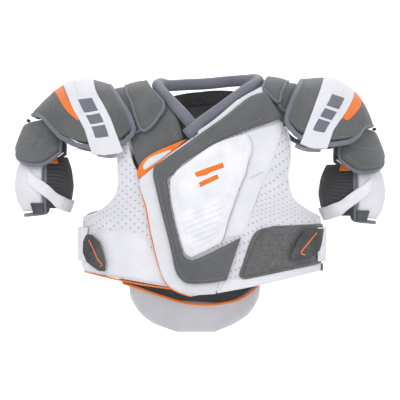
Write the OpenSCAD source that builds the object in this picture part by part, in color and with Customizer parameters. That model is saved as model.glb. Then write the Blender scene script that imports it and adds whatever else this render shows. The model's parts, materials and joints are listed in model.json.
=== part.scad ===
// Ice hockey shoulder pads, size adult medium: a padded vest with a wrap-over chest, a rolled collar,
// two waist straps, a hinged tail pad and, on each arm, a shoulder cap, a flap and a bicep guard.
// The origin is the middle of the neck opening. +Z is up, -Y is the chest side, +X the wearer's left.

/* [Torso] */
// Half width of the torso that the vest wraps
torso_half_w = 187; // [185:1:195]
// Depth of the chest in front of the shoulder line
chest_depth = 108; // [98:1:118]
// Depth of the back behind the shoulder line
back_depth = 100; // [92:1:110]
// How far the shoulders drop for each mm outward
shoulder_slope = 0.22; // [0.15:0.01:0.28]

/* [Layers] */
// Thickness of the foam and mesh base panels
base_t = 6; // [4:0.5:6.5]
// Thickness of the chest plate
plate_t = 8; // [5:0.5:10]
// Radius of the rolled collar
collar_r = 9; // [7:0.5:10]
// Thickness of the shoulder cap's outer shell
cap_t = 5; // [3:0.5:5.5]

/* [Hang loop] */
// Radius of the hole in the hang loop
loop_hole_r = 6; // [5:0.5:7]
// Width of the loop's webbing
loop_w = 8; // [6:1:10]

/* [Hidden] */

shoulder_top = 25;      // height of the shoulder line beside the neck
chest_level = -120;     // below this height the chest is vertical
neck_side = 60;         // the shoulders slope from here outward
neck_x = 10;            // the wrap-over closure pulls the neck opening towards the left shoulder
left_lift = 12;         // the left shoulder sits this much higher
nape_rise = 30;         // the vest reaches this much further up behind the neck
roundness = 2.4;        // exponent of the torso's horizontal section
layer_gap = 1.5;        // air between two layers
wrap_in = base_t + layer_gap;
wrap_out = wrap_in + 5;
top_in = wrap_out + layer_gap;

grey = [0.36, 0.37, 0.38];
trim_grey = [0.45, 0.46, 0.52];
white = [0.93, 0.93, 0.95];
dark = [0.12, 0.12, 0.13];
orange = [1, 0.45, 0.08];

// ---- surfaces -------------------------------------------------------------------------------
// The torso is addressed by x and s: s is the angle from the shoulder line, + to the chest and - to the
// back, up to 90 degrees at chest level. Past 90 it counts millimetres below that level.
function drop(x) = shoulder_slope * max(0, abs(x) - neck_side) - left_lift * max(0, min(1, x / 90));
function nape(x, s) = s < 0 && s > -90 ? nape_rise * -sin(2 * s) * max(0, 1 - pow((x - neck_x) / 110, 2)) : 0;
function girth(x) = pow(max(0, 1 - pow(min(1, abs(x) / torso_half_w), roundness)), 1 / roundness);
function arc(x) = shoulder_top - chest_level - drop(x);
function torso(p) =
    let (s = abs(p[1]), depth = p[1] > 0 ? -chest_depth : back_depth)
    s <= 90
        ? [p[0], depth * girth(p[0]) * sin(s), chest_level + arc(p[0]) * cos(s) + nape(p[0], p[1])]
        : [p[0], depth * girth(p[0]), chest_level - (s - 90)];
function on_torso(x, z) =
    z > chest_level ? acos(min(1, (z - chest_level) / arc(x))) : 90 + chest_level - z;
function chest(x, z) = [x, on_torso(x, z)];
function back(x, z) = [x, -on_torso(x, z)];
function span(a, b, n) = [for (k = [0:n]) a + (b - a) * k / n];
// A grid of torso points, ruled between the two ends of each row.
function torso_grid(rows, n) = [for (r = rows) [for (p = span(r[0], r[1], n)) torso(p)]];
function flipped(g) = [for (r = g) [for (k = [len(r) - 1:-1:0]) r[k]]];
function mirrored(rows) = [for (r = rows) [[-r[0][0], r[0][1]], [-r[1][0], r[1][1]]]];

function grid_normal(g, i, j) =
    let (last_i = len(g) - 1, last_j = len(g[0]) - 1,
         a = g[min(i + 1, last_i)][j] - g[max(i - 1, 0)][j],
         b = g[i][min(j + 1, last_j)] - g[i][max(j - 1, 0)],
         c = cross(a, b))
    c / max(norm(c), 0.001);

// A closed sheet that follows the grid g, from t0 to t1 along its normals.
module sheet(g, t0, t1) {
    rows = len(g);
    cols = len(g[0]);
    layer = rows * cols;
    points = [for (t = [t0, t1], i = [0:rows - 1], j = [0:cols - 1]) g[i][j] + t * grid_normal(g, i, j)];
    function at(k, i, j) = k * layer + i * cols + j;
    outer = [for (i = [0:rows - 2], j = [0:cols - 2]) each
        [[at(1, i, j), at(1, i, j + 1), at(1, i + 1, j + 1)], [at(1, i, j), at(1, i + 1, j + 1), at(1, i + 1, j)]]];
    inner = [for (i = [0:rows - 2], j = [0:cols - 2]) each
        [[at(0, i, j), at(0, i + 1, j + 1), at(0, i, j + 1)], [at(0, i, j), at(0, i + 1, j), at(0, i + 1, j + 1)]]];
    ends = [for (j = [0:cols - 2]) each
        [[at(0, 0, j), at(0, 0, j + 1), at(1, 0, j + 1)], [at(0, 0, j), at(1, 0, j + 1), at(1, 0, j)],
         [at(0, rows - 1, j), at(1, rows - 1, j + 1), at(0, rows - 1, j + 1)],
         [at(0, rows - 1, j), at(1, rows - 1, j), at(1, rows - 1, j + 1)]]];
    sides = [for (i = [0:rows - 2]) each
        [[at(0, i, 0), at(1, i + 1, 0), at(0, i + 1, 0)], [at(0, i, 0), at(1, i, 0), at(1, i + 1, 0)],
         [at(0, i, cols - 1), at(0, i + 1, cols - 1), at(1, i + 1, cols - 1)],
         [at(0, i, cols - 1), at(1, i + 1, cols - 1), at(1, i, cols - 1)]]];
    polyhedron(points, concat(outer, inner, ends, sides));
}

// A round tube of radius r along the points of a path.
module tube(path, r, facets = 8) {
    last = len(path) - 1;
    function along(i) = let (d = path[min(i + 1, last)] - path[max(i - 1, 0)]) d / norm(d);
    function ring(i) =
        let (d = along(i), h = cross(d, [path[i][0] - neck_x, path[i][1] - neck_x, 0]), u = h / norm(h), v = cross(d, u))
        [for (k = [0:facets - 1]) path[i] + r * (u * cos(360 * k / facets) + v * sin(360 * k / facets))];
    points = [for (i = [0:last]) each ring(i)];
    function at(i, k) = i * facets + k % facets;
    wall = [for (i = [0:last - 1], k = [0:facets - 1]) each
        [[at(i, k), at(i, k + 1), at(i + 1, k + 1)], [at(i, k), at(i + 1, k + 1), at(i + 1, k)]]];
    caps = [[for (k = [facets - 1:-1:0]) at(0, k)], [for (k = [0:facets - 1]) at(last, k)]];
    polyhedron(points, concat(wall, caps));
}

// ---- vest, base layer -----------------------------------------------------------------------
// Chest and back rows run from -X to +X, top row first. Shoulder rows run from the chest over the
// shoulder to the back, each from its outer end to its neck end.
right_front_rows = [
    [chest(-133, -64), chest(-114, -64)], [chest(-129, -90), chest(-108, -90)],
    [chest(-128, -112), chest(-99, -112)], [chest(-127, -130), chest(-74, -128)],
    [chest(-130, -148), chest(-66, -142)], [chest(-140, -166), chest(-60, -160)],
    [chest(-158, -179), chest(-54, -180)], [chest(-183, -188), chest(-46, -204)],
    [chest(-183, -232), chest(-36, -250)], [chest(-183, -275), chest(-24, -302)]];
left_wrap_rows = [
    [chest(90, 5), chest(129, -44)], [chest(68, -7), chest(137, -68)], [chest(38, -28), chest(138, -92)],
    [chest(9, -49), chest(136, -108)], [chest(-20, -70), chest(134, -120)],
    [chest(-93, -127), chest(137, -142)], [chest(-88, -150), chest(146, -160)],
    [chest(-83, -170), chest(164, -174)], [chest(-79, -195), chest(183, -187)],
    [chest(-72, -228), chest(184, -215)], [chest(-63, -265), chest(183, -240)],
    [chest(-50, -296), chest(183, -262)], [chest(-16, -312), chest(183, -272)]];
back_rows = [
    [[-62, -44], [80, -44]], [back(-66, -52), back(82, -50)], [back(-132, -66), back(132, -64)],
    [back(-129, -90), back(129, -90)], [back(-130, -125), back(130, -125)],
    [back(-136, -150), back(136, -150)], [back(-156, -174), back(156, -174)],
    [back(-183, -186), back(183, -186)], [back(-183, -230), back(183, -230)],
    [back(-183, -274), back(183, -274)], [back(-114, -286), back(98, -286)]];
right_yoke_rows = [
    [chest(-94, -112), chest(-32, -70)], [chest(-104, -88), chest(-42, -38)],
    [chest(-112, -62), chest(-58, -17)], [chest(-138, -44), chest(-72, -2)],
    [[-140, 46], [-80, 30]], [[-141, 24], [-82, 14]], [[-141, 0], [-82, -4]],
    [[-141, -24], [-80, -22]], [[-140, -46], [-74, -38]], [back(-134, -50), back(-74, -46)]];
left_yoke_rows = [
    [chest(134, -34), chest(106, 4)], [[142, 38], [106, 24]], [[150, 20], [105, 12]], [[154, 0], [105, 0]],
    [[150, -24], [100, -18]], [[142, -46], [94, -36]], [back(134, -46), back(90, -40)]];

module right_front_panel() color(white) sheet(torso_grid(right_front_rows, 6), 0, base_t);
module left_wrap_panel() color(white) sheet(torso_grid(left_wrap_rows, 10), wrap_in, wrap_out);
module back_panel() color(white) sheet(flipped(torso_grid(back_rows, 12)), 0, base_t);
module right_yoke() color(grey) sheet(flipped(torso_grid(right_yoke_rows, 3)), 0, base_t);
module left_yoke() color(grey) sheet(torso_grid(left_yoke_rows, 3), 0, base_t);

// ---- vest, shoulder pads --------------------------------------------------------------------
right_pad_rows = [
    [chest(-92, -52), chest(-78, -50)], [chest(-98, -34), chest(-64, -32)],
    [chest(-105, -16), chest(-57, -14)], [[-114, 26], [-80, 26]], [[-117, 8], [-88, 8]],
    [[-117, -10], [-88, -10]], [[-112, -30], [-82, -28]], [[-100, -48], [-78, -46]]];
right_under_rows = [
    [chest(-104, -54), chest(-95, -52)], [chest(-112, -34), chest(-101, -34)],
    [chest(-124, -16), chest(-108, -16)], [[-138, 26], [-117, 26]], [[-142, 8], [-120, 8]],
    [[-142, -10], [-120, -10]], [[-134, -30], [-115, -30]], [[-116, -48], [-103, -48]]];
left_pad_rows = [
    [[121, 41], [99, 31]], [[126, 32], [101, 24]], [[133, 20], [105, 16]], [[139, 4], [112, 4]],
    [[139, -12], [112, -12]], [[132, -30], [106, -28]], [[118, -48], [98, -46]]];
left_under_rows = [
    [[135, 46], [125, 43]], [[141, 36], [130, 34]], [[150, 20], [136, 20]], [[157, 4], [142, 4]],
    [[157, -12], [142, -12]], [[150, -30], [135, -30]], [[134, -48], [121, -48]]];

module right_arch_pad() color(grey) sheet(flipped(torso_grid(right_pad_rows, 4)), wrap_in + 1, wrap_in + 8);
module left_arch_pad() color(grey) sheet(torso_grid(left_pad_rows, 4), wrap_in + 1, wrap_in + 8);
module right_arch_under_pad() color(grey) sheet(flipped(torso_grid(right_under_rows, 2)), wrap_in + 1, wrap_in + 5);
module left_arch_under_pad() color(grey) sheet(torso_grid(left_under_rows, 2), wrap_in + 1, wrap_in + 5);

// ---- vest, back -----------------------------------------------------------------------------
liner_rows = [
    [[-60, -39], [80, -39]], [[-66, -48], [84, -48]], [[-80, -56], [92, -56]], [back(-104, -66), back(106, -66)],
    [back(-118, -110), back(118, -110)], [back(-130, -170), back(130, -170)],
    [back(-150, -230), back(150, -230)], [back(-142, -270), back(142, -270)],
    [back(-130, -297), back(101, -297)], [back(-77, -315), back(64, -323)],
    [back(-32, -328), back(32, -332)]];
spine_rows = [
    [back(-46, -72), back(46, -72)], [back(-58, -96), back(58, -96)], [back(-50, -150), back(50, -150)],
    [back(-40, -196), back(40, -196)]];
waist_band_rows = [
    [back(-172, -204), back(172, -204)], [back(-172, -232), back(172, -232)],
    [back(-172, -260), back(172, -260)]];
tail_rows = [
    [back(-117, -292), back(101, -292)], [back(-114, -322), back(97, -322)],
    [back(-97, -350), back(80, -350)], [back(-71, -368), back(53, -368)], [back(-38, -381), back(24, -381)]];
// The hem's rows run along the liner's lower edge, each from its upper side to its lower one.
back_hem_path = [
    [-130, -298], [-77, -317], [-32, -330], [0, -334], [32, -333], [64, -325], [87, -311], [101, -298]];
patch_rows = [[[-20, -52], [36, -52]], [[-20, -66], [36, -66]]];
loop_pos = [-4, 48, 6];  // centre of the hang loop's hole
loop_wall = 2.5;
loop_tab = 4;

module back_liner() color(dark) sheet(flipped(torso_grid(liner_rows, 10)), -6, -3);
module spine_guard() color(grey) sheet(flipped(torso_grid(spine_rows, 6)), wrap_in, wrap_in + 7);
module back_waist_band() color(grey) sheet(flipped(torso_grid(waist_band_rows, 12)), wrap_in, wrap_in + 3);
module tail_pad() color(white) sheet(flipped(torso_grid(tail_rows, 8)), 0, 9);
module back_hem() color(orange)
    sheet([for (p = back_hem_path) [torso(back(p[0], p[1])), torso(back(p[0], p[1] - 7))]], -7, -2.5);
module neck_patch() color(dark) sheet(flipped(torso_grid(patch_rows, 4)), -9.5, -7.5);
module hang_loop() color(dark) translate(loop_pos) {
    difference() {
        union() {
            rotate([90, 0, 0]) cylinder(r = loop_hole_r + loop_wall, h = loop_w, center = true, $fn = 48);
            translate([-loop_tab, -loop_w / 2, loop_hole_r])
                cube([2 * loop_tab, loop_w, loop_wall + 3]);
        }
        rotate([90, 0, 0]) cylinder(r = loop_hole_r, h = loop_w + 2, center = true, $fn = 48);
    }
}

// ---- vest, chest layers ---------------------------------------------------------------------
// The frame's rows run along its band, each from its outer edge to its inner one.
frame_rows = [
    [chest(98, 0), chest(118, -36)], [chest(74, -8), chest(98, -43)], [chest(56, -24), chest(66, -56)],
    [chest(13, -54), chest(17, -78)], [chest(-29, -82), chest(-18, -98)], [chest(-62, -105), chest(-38, -115)],
    [chest(-70, -117), chest(-49, -127)], [chest(-67, -142), chest(-49, -140)],
    [chest(-59, -178), chest(-46, -172)], [chest(-50, -215), chest(-38, -208)],
    [chest(-43, -246), chest(-28, -244)], [chest(-34, -282), chest(-20, -254)],
    [chest(-22, -292), chest(-9, -254)], [chest(12, -291), chest(18, -242)], [chest(41, -286), chest(62, -219)]];
plate_rows = [
    [chest(38, -68), chest(69, -60)], [chest(15, -80), chest(78, -72)], [chest(-14, -99), chest(78, -84)],
    [chest(-42, -123), chest(72, -104)], [chest(-45, -140), chest(64, -130)],
    [chest(-42, -172), chest(53, -160)], [chest(-34, -208), chest(43, -192)],
    [chest(-23, -244), chest(36, -218)], [chest(-14, -251), chest(33, -226)]];
trim_rows = [
    [chest(-28, -69), chest(-23, -68)], [chest(-52, -80), chest(-40, -82)],
    [chest(-80, -94), chest(-58, -96)], [chest(-93, -108), chest(-74, -109)],
    [chest(-96, -124), chest(-91, -122)]];
landing_rows = [
    [chest(100, -202), chest(183, -199)], [chest(84, -212), chest(183, -212)],
    [chest(70, -240), chest(182, -236)], [chest(60, -276), chest(181, -258)],
    [chest(68, -284), chest(180, -261)]];
facing_rows = [
    [chest(90, 8), chest(95, 4)], [chest(70, -2), chest(74, -6)], [chest(49, -17), chest(53, -21)],
    [chest(22, -39), chest(25, -43)], [chest(4, -51), chest(6, -55)]];

module chest_frame() color(grey) sheet(torso_grid(frame_rows, 2), top_in, top_in + 6);
module chest_plate() color("white") sheet(torso_grid(plate_rows, 6), top_in, top_in + plate_t);
module accent_trim() color(orange) sheet(torso_grid(trim_rows, 2), wrap_in, wrap_in + 2.5);
module landing_patch() color(dark) sheet(torso_grid(landing_rows, 6), top_in, top_in + 1.5);
module collar_facing() color(white) sheet(torso_grid(facing_rows, 1), top_in, top_in + 1.5);

// The collar runs from its right end under the V, up the chest, behind the neck and down to its left end.
collar_lift = 4;
collar_path = [
    for (p = [chest(-23, -31), chest(-34, -20), chest(-46, -7), chest(-59, 7), [-67, 15],
              [-69, 0], [-64, -18], [-50, -29], [-24, -33], [10, -35], [44, -33], [72, -26], [90, -12],
              [95, 3], [91, 16], chest(74, 13), chest(52, -4), chest(24, -25), chest(2, -41)])
        torso(p) + [0, p[1] > 20 ? -collar_lift : 0, collar_lift]];
collar_end = torso(chest(-17, -53)) + [0, -18, collar_lift];
module collar_roll() color(trim_grey) {
    tube(concat(collar_path, [collar_end]), collar_r);
}

// ---- waist straps ---------------------------------------------------------------------------
// A strap is addressed by its angle round the waist: 0 is the chest's middle, 90 the side, 180 the back.
strap_top = -204;
strap_bottom = -258;
function strap_out(side, angle) =
    (side < 0 ? 8.5 : 9 + 8.5 * max(0, min(1, (104 - angle) / 28))) + 3.5 * max(0, (angle - 90) / 38);
function waist(side, angle, z, out) =
    let (e = 2 / roundness, depth = cos(angle) > 0 ? -chest_depth : back_depth, sign_y = depth / abs(depth))
    [side * (torso_half_w + out) * pow(sin(angle), e),
     sign_y * (abs(depth) + out) * pow(abs(cos(angle)), e), z];
function waist_grid(side, angles, zs, out) =
    [for (z = zs) [for (a = (side < 0 ? reversed(angles) : angles)) waist(side, a, z, strap_out(side, a) + out)]];
function reversed(v) = [for (k = [len(v) - 1:-1:0]) v[k]];

module strap(side) color(white)
    sheet(waist_grid(side, [64, 72, 80, 88, 96, 104, 112, 120, 128], [strap_top, -231, strap_bottom], 0), 0, 3);
// The rubber pull tab is a slanted plate on the strap's chest end.
module strap_tab(side) color(grey) {
    rows = side < 0
        ? [[57, 62, -215], [50, 66, -226], [47, 66.5, -244], [45.5, 62, -258], [45.5, 50, -273]]
        : [[50, 68, -206], [44, 66, -225], [41, 63, -240], [39, 54, -253]];
    sheet([for (r = rows) [for (a = (side < 0 ? span(r[1], r[0], 3) : span(r[0], r[1], 3)))
        waist(side, a, r[2], strap_out(side, a) + 4)]], 0, 4);
}

// ---- shoulder caps --------------------------------------------------------------------------
// A cap is a row of arches from its neck edge outward. Each arch runs from its hem in front, over its
// top point, to its hem behind. Tops and hems are [x, z], and depths are the hems' distances in y.
right_cap_top = [[-144, 27], [-165, 34], [-186, 37], [-208, 34], [-229, 23], [-246, 8], [-262, -8], [-274, -21]];
right_cap_hem = [[-98, -43], [-110, -67], [-141, -83], [-179, -80], [-214, -70], [-240, -43], [-256, -23], [-268, -25]];
left_cap_top = [[164, 36], [184, 38], [205, 39], [226, 35], [245, 22], [262, 4], [274, -18], [282, -40]];
left_cap_hem = [[131, -30], [141, -50], [165, -69], [195, -75], [227, -73], [251, -64], [264, -42], [273, -42]];
cap_depth = [101, 107, 105, 98, 88, 75, 56, 38];

function cap_point(side, u, s) =
    let (top = side < 0 ? right_cap_top : left_cap_top, hem = side < 0 ? right_cap_hem : left_cap_hem,
         k = min(6, floor(u)), f = u - k,
         t = top[k] + f * (top[k + 1] - top[k]), h = hem[k] + f * (hem[k + 1] - hem[k]),
         d = cap_depth[k] + f * (cap_depth[k + 1] - cap_depth[k]), fall = 1 - cos(90 * s))
    [t[0] + (h[0] - t[0]) * fall, d * sin(90 * s), t[1] + (h[1] - t[1]) * fall];
// The shell is cut back toward the narrow outer end, so that the binding's folds clear it.
cap_tip_trim = [[3, 1], [4, 0.97], [5, 0.87], [6, 0.66], [7, 0.5]];
function cap_grid(side, us, ss, trim = [[0, 1], [7, 1]]) =
    let (g = [for (u = us) [for (s = ss) cap_point(side, u, s * lookup(u, trim))]])
    side < 0 ? flipped(g) : g;

module cap_shell(side) color(grey)
    sheet(cap_grid(side, [0.25, 1, 2, 3, 4, 5, 6, 7], span(-0.92, 0.92, 10), cap_tip_trim), -cap_t, 0);
module cap_core(side) color("black")
    sheet(cap_grid(side, [1.2, 2, 3, 4, 5, 5.6], span(-0.57, 0.57, 6)), -cap_t - 4, -cap_t - 2);
module cap_liner(side) color(dark)
    sheet(cap_grid(side, [1.2, 2, 3, 4, 5, 5.6], span(-0.56, 0.56, 6)), -cap_t - 9, -cap_t - 5);
// The binding runs along the front hem, the neck edge and the back hem.
module cap_binding(side) color(trim_grey) {
    outer = concat([for (u = [7:-1:0]) [u, -1]], [for (s = span(-0.8, 0.8, 8)) [0, s]], [for (u = [0:7]) [u, 1]]);
    inner = concat([for (u = [7:-1:1]) [u, -0.955], [0.16, -0.955]],
                   [for (s = span(-0.8, 0.8, 8)) [0.16, s]], [[0.16, 0.955], for (u = [1:7]) [u, 0.955]]);
    g = [for (k = [0:len(outer) - 1])
        [cap_point(side, outer[k][0], outer[k][1]), cap_point(side, inner[k][0], inner[k][1])]];
    sheet(side < 0 ? g : flipped(g), -cap_t, 0.5);
}

// ---- arms -----------------------------------------------------------------------------------
// Arm pieces are addressed by the angle phi round the arm, 0 at the outermost line and + to the front.
arm_x = 232;
flap_rx = 62;
flap_ry = 60;
flap_phi = [-100, -75, -50, -25, 0, 25, 50, 75, 100];
flap_top = [-36, -31, -33, -36, -39, -36, -33, -31, -36];
flap_hem = [-84, -103, -104, -96, -86, -96, -104, -103, -84];
left_arm_drop = 12;     // the left arm hangs this much lower
function arm_z(side) = side > 0 ? -left_arm_drop : 0;
flap_taper = 14;        // the flap's top is this much narrower than its hem
function flap_point(side, phi, z) =
    let (r = -flap_taper * max(0, min(1, (z + 75) / 36)))
    [side * (arm_x + (flap_rx + r) * cos(phi)), -(flap_ry + r) * sin(phi), z + arm_z(side)];
function oriented(side, g) = side < 0 ? g : flipped(g);

module flap_pad(side) color(grey)
    sheet(oriented(-side, [for (k = [0:8]) [for (z = span(flap_top[k], flap_hem[k] + 6, 4))
        flap_point(side, flap_phi[k] * 0.95, z)]]), 0, 6);
module flap_binding(side) color(trim_grey)
    sheet(oriented(-side, [for (k = [0:8])
        [flap_point(side, flap_phi[k] * 0.97, flap_hem[k] + 5), flap_point(side, flap_phi[k], flap_hem[k] - 3)]]), 0, 6.5);
function flap_axis(side) = side < 0 ? [-279, 0, -31] : [283.5, 0, -45];
module flap_link(side) color(dark)
    translate(flap_axis(side)) rotate([90, 0, 0]) cylinder(r = 2.5, h = 24, center = true, $fn = 24);

guard_x = 245;
guard_z = [-84, -96, -112, -138, -162, -180];
guard_r = [38, 45, 52, 56, 51, 42];
function guard_at(z) = lookup(z, [for (k = [0:5]) [guard_z[k], guard_r[k]]]);
function guard_point(side, phi, z, out = 0) =
    let (r = guard_at(z) + out, inward = cos(phi) < 0 ? (side < 0 ? 0.72 : 0.95) : 1)
    [side * (guard_x + r * cos(phi) * inward), -0.92 * r * sin(phi), z + arm_z(side)];

module bicep_shell(side) color(white)
    sheet(oriented(-side, [for (phi = span(-78, 78, 8)) [for (z = guard_z) guard_point(side, phi, z + 2)]]), -4, 0);
module bicep_liner(side) color(dark)
    sheet(oriented(-side, [for (phi = span(92, 268, 8)) [for (z = [-90, -112, -138, -162, -174])
        guard_point(side, phi, z)]]), -3, -0.5);
module bicep_edge(side) color(trim_grey) {
    for (front = [-1, 1]) {
        phis = front < 0 ? [-90, -80] : [80, 90];
        sheet(oriented(-side, [for (phi = phis) [for (z = guard_z) guard_point(side, phi, z + 2)]]), -4, 0.5);
    }
    sheet(oriented(-side, [for (phi = span(-78, 78, 8)) [for (z = [-179, -184]) guard_point(side, phi, z)]]), -4, 0.5);
}
// The elastic band starts on the outer front, runs down round the inner side and ends at the keeper.
band_rows = [[56, -112, -132], [84, -131, -153], [112, -149, -171], [145, -158, -178], [176, -160, -180]];
module bicep_band(side) color(white)
    sheet(oriented(-side, [for (r = band_rows) [for (z = span(r[1], r[2], 2)) guard_point(side, r[0], z)]]), 2.8, 4.8);
module bicep_keeper(side) color(dark)
    sheet(oriented(-side, [for (phi = [58, 70, 82]) [for (z = [-164, -172, -181]) guard_point(side, phi, z)]]), 1.5, 5);
module bicep_tab(side) color(orange)
    sheet(oriented(-side, [for (phi = [96, 106, 116]) [for (z = [-84, -92, -102]) guard_point(side, phi, z)]]), 1.5, 4);

back_panel();
back_liner();
spine_guard();
back_waist_band();
neck_patch();
hang_loop();
right_front_panel();
left_wrap_panel();
chest_frame();
chest_plate();
accent_trim();
collar_roll();
collar_facing();
landing_patch();
tail_pad();
back_hem();
right_yoke();
left_yoke();
right_arch_pad();
left_arch_pad();
right_arch_under_pad();
left_arch_under_pad();
for (side = [-1, 1]) {
    name = side < 0 ? "right_" : "left_";
    strap(side);
    strap_tab(side);
    cap_shell(side);
    cap_core(side);
    cap_liner(side);
    cap_binding(side);
    flap_pad(side);
    flap_binding(side);
    flap_link(side);
    bicep_shell(side);
    bicep_liner(side);
    bicep_edge(side);
    bicep_band(side);
    bicep_keeper(side);
    bicep_tab(side);
}
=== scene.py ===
# Ice hockey shoulder pads: the detailed soft goods and their finishes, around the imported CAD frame.
import json
import math
import bpy
import numpy as np
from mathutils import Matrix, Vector


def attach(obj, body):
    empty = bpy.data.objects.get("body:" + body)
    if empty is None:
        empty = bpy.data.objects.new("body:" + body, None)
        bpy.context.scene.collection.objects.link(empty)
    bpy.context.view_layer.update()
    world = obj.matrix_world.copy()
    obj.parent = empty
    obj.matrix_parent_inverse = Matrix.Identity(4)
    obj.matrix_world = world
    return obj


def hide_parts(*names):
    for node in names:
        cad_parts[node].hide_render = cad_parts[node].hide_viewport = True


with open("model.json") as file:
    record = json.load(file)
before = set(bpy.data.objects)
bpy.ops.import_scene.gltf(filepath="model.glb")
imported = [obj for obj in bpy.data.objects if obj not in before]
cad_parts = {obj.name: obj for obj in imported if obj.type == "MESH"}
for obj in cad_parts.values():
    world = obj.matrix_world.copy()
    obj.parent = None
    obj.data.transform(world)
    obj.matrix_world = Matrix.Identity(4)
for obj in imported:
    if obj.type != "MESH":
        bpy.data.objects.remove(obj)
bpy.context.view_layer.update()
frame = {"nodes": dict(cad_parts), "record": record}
MM = 0.001
VEST_MID = (0, 0, -160)   # mm; outward on the vest is away from here

# ---------------------------------------------------------------- surfaces, in mm, as the CAD has them
HALF_W, CHEST, BACK, SLOPE, TOP, LEVEL = 187.0, 108.0, 100.0, 0.22, 25.0, -120.0
ROUND, NECK_SIDE, NECK_X, LEFT_LIFT, NAPE = 2.4, 60.0, 10.0, 12.0, 30.0
BASE_T, WRAP_IN = 6.0, 7.5
WRAP_OUT = WRAP_IN + 5.0
TOP_IN = WRAP_OUT + 1.5


def rise(x):
    """How far the shoulder line is above LEVEL at x."""
    drop = SLOPE * np.maximum(0, np.abs(x) - NECK_SIDE) - LEFT_LIFT * np.clip(x / 90, 0, 1)
    return TOP - LEVEL - drop


def torso(x, s):
    """x in mm, s in degrees from the shoulder line, + to the chest; past 90 it counts mm downward."""
    x, s = np.asarray(x, float), np.asarray(s, float)
    a = np.abs(s)
    depth = np.where(s > 0, -CHEST, BACK)
    girth = np.maximum(0, 1 - np.minimum(1, np.abs(x) / HALF_W) ** ROUND) ** (1 / ROUND)
    rad = np.radians(np.minimum(a, 90))
    nape = np.where((s < 0) & (s > -90), NAPE * -np.sin(np.radians(2 * s)) * np.maximum(0,
        1 - ((x - NECK_X) / 110) ** 2), 0)
    z = np.where(a <= 90, LEVEL + rise(x) * np.cos(rad) + nape, LEVEL - (a - 90))
    y = depth * girth * np.sin(rad)
    return np.stack([x, y, z], -1)


def on_torso(x, z):
    """The torso's s, without its sign, at the place X, Z."""
    if z > LEVEL:
        return math.degrees(math.acos(min(1, (z - LEVEL) / float(rise(x)))))
    return 90 + LEVEL - z


def C(x, z):
    """The torso's (x, s) at the place X, Z of the chest side."""
    return (x, on_torso(x, z))


def B(x, z):
    """The torso's (x, s) at the place X, Z of the back."""
    return (x, -on_torso(x, z))


def front(*rows):
    """Rows of a chest panel, each from one X, Z to another."""
    return [(C(a, b), C(c, d)) for a, b, c, d in rows]


def behind(*rows):
    """Rows of a back panel, each from one X, Z to another."""
    return [(B(a, b), B(c, d)) for a, b, c, d in rows]


CAP_TOP = {-1: [(-144, 27), (-165, 34), (-186, 37), (-208, 34), (-229, 23), (-246, 8), (-262, -8),
    (-274, -21)],
           1: [(164, 36), (184, 38), (205, 39), (226, 35), (245, 22), (262, 4), (274, -18), (282, -40)]}
CAP_HEM = {-1: [(-98, -43), (-110, -67), (-141, -83), (-179, -80), (-214, -70), (-240, -43), (-256, -23),
    (-268, -25)],
           1: [(131, -30), (141, -50), (165, -69), (195, -75), (227, -73), (251, -64), (264, -42),
           (273, -42)]}
CAP_DEPTH = [101, 107, 105, 98, 88, 75, 56, 38]


def cap(side):
    """The shoulder cap: u from the neck edge, 0, to the tip, 7; s from the front hem, -1, to the back, 1."""
    top, hem, depth = np.array(CAP_TOP[side], float), np.array(CAP_HEM[side], float), np.array(CAP_DEPTH,
        float)

    def at(u, s):
        u, s = np.asarray(u, float), np.asarray(s, float)
        k = np.arange(8)
        f = [np.interp(u, k, col) for col in (top[:, 0], top[:, 1], hem[:, 0], hem[:, 1], depth)]
        e = 0.35                                   # softens the corners between the CAD's arches
        g = [(np.interp(u - e, k, c) + np.interp(u + e, k, c)) / 2 for c in (top[:, 0], top[:, 1],
            hem[:, 0], hem[:, 1], depth)]
        w = np.clip(np.minimum(u, 7 - u) / e, 0, 1)
        t0, t1, h0, h1, d = [a + (b - a) * w for a, b in zip(f, g)]
        fall, y = 1 - np.cos(np.pi / 2 * s), np.sin(np.pi / 2 * s)
        return np.stack([t0 + (h0 - t0) * fall, d * y, t1 + (h1 - t1) * fall], -1)
    return at


def on_cap(side, x, z):
    """(u, s) on the chest side of the cap for a point given as X, Z."""
    surf = cap(side)
    us, ss = np.meshgrid(np.linspace(0, 7, 281), np.linspace(-1, 0, 161), indexing="ij")
    p = surf(us, ss)
    k = np.argmin((p[..., 0] - x) ** 2 + (p[..., 2] - z) ** 2)
    return us.flat[k], ss.flat[k]


def arm_z(side):
    """The wearer's left arm hangs lower."""
    return -12.0 if side > 0 else 0.0


def flap(side):
    """The upper arm flap: phi in degrees round the arm, 0 outermost and + to the front, and z in mm."""
    def at(phi, z):
        phi, z = np.asarray(phi, float), np.asarray(z, float)
        r = -14 * np.clip((z + 75) / 36, 0, 1)
        c, s = np.cos(np.radians(phi)), np.sin(np.radians(phi))
        return np.stack([side * (232 + (62 + r) * c), -(60 + r) * s, z + arm_z(side)], -1)
    return at


def guard(side):
    """The bicep guard, addressed as the flap is."""
    zs, rs = [-184, -180, -162, -138, -112, -96, -84], [40, 42, 51, 56, 52, 45, 38]

    def at(phi, z):
        phi, z = np.asarray(phi, float), np.asarray(z, float)
        r = (np.interp(z - 5, zs, rs) + np.interp(z + 5, zs, rs) + np.interp(z, zs, rs)) / 3
        c, s = np.cos(np.radians(phi)), np.sin(np.radians(phi))
        inward = np.where(c < 0, 0.72 if side < 0 else 0.95, 1)
        return np.stack([side * (245 + r * c * inward), -0.92 * r * s, z + arm_z(side)], -1)
    return at


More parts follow.
